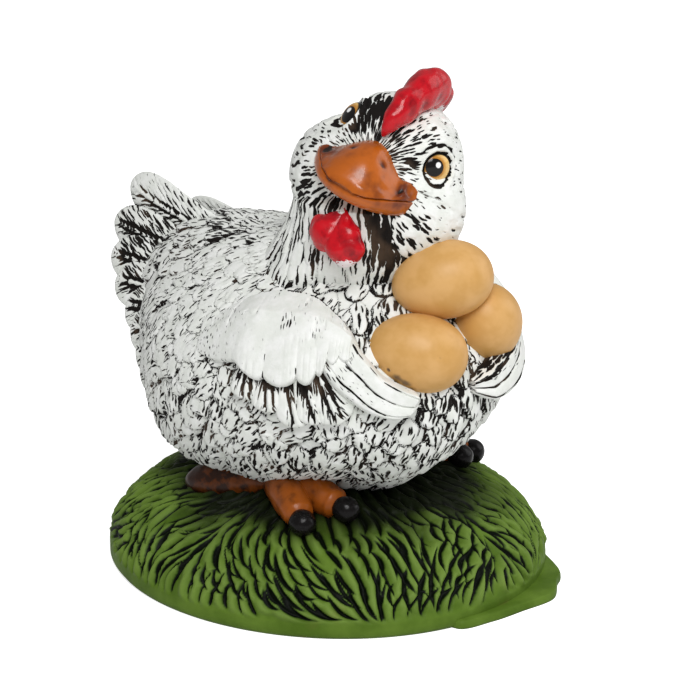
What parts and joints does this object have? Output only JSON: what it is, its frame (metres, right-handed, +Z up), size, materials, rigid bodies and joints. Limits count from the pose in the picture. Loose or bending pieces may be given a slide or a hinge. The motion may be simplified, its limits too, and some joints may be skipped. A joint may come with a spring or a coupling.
{
  "type": "hen figurine",
  "caption": "Painted figurine, cast in one piece: a hen hugs a small heap of eggs with its wings while it sits on an oval mound of grass.",
  "frame": {"origin": "middle of the flat underside, at the centre of the oval base", "axes": "+Z up out of the underside, the hen's body faces -Y, the hen's left side is +X"},
  "size_m": [0.1212, 0.1474, 0.147],
  "materials": {
    "white_feathers": "satin, white dry-brushed over dark brown",
    "orange_bill": "gloss lacquer",
    "red_comb": "gloss lacquer",
    "eyes": "gloss lacquer",
    "buff_eggs": "satin",
    "orange_feet": "satin",
    "black_claws": "gloss lacquer",
    "green_grass": "satin"
  },
  "bodies": {
    "root": {"hen_figurine": "white_feathers"}
  },
  "joints": []
}
